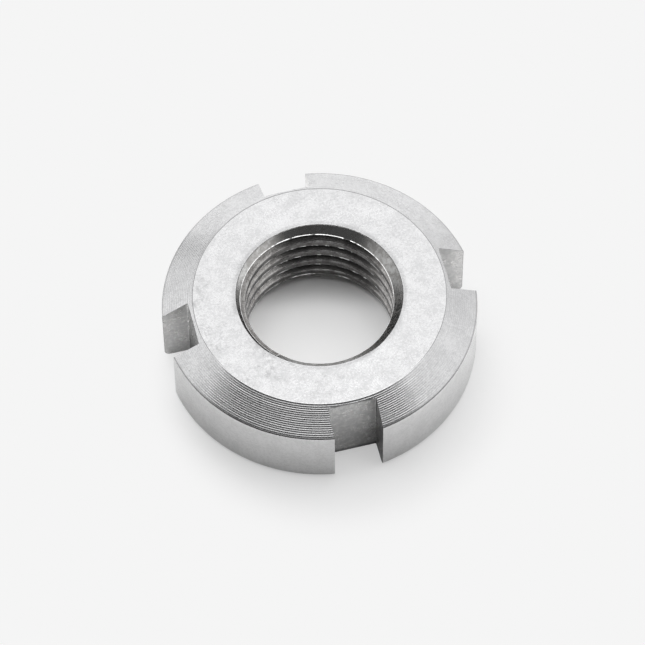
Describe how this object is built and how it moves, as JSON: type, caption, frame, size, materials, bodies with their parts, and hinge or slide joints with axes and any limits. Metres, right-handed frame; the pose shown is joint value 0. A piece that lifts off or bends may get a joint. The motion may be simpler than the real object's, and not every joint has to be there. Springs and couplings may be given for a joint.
{
  "type": "slotted round nut",
  "caption": "Flat round steel nut with a chamfered face, a fine threaded hole and spanner slots milled into its rim, turned by a hook spanner.",
  "frame": {"origin": "centre of the clamping face, which it rests on, on the thread axis", "axes": "+Z along the thread axis, from the clamping face towards the chamfered face; a spanner slot is centred on each of the X and Y axes, both ways"},
  "size_m": [0.0266, 0.0266, 0.0077],
  "materials": {
    "bright_steel": "bare bright steel: faced and turned with fine concentric feed marks, milled slots, cut thread"
  },
  "bodies": {
    "root": {"slotted_nut": "bright_steel"}
  },
  "joints": []
}
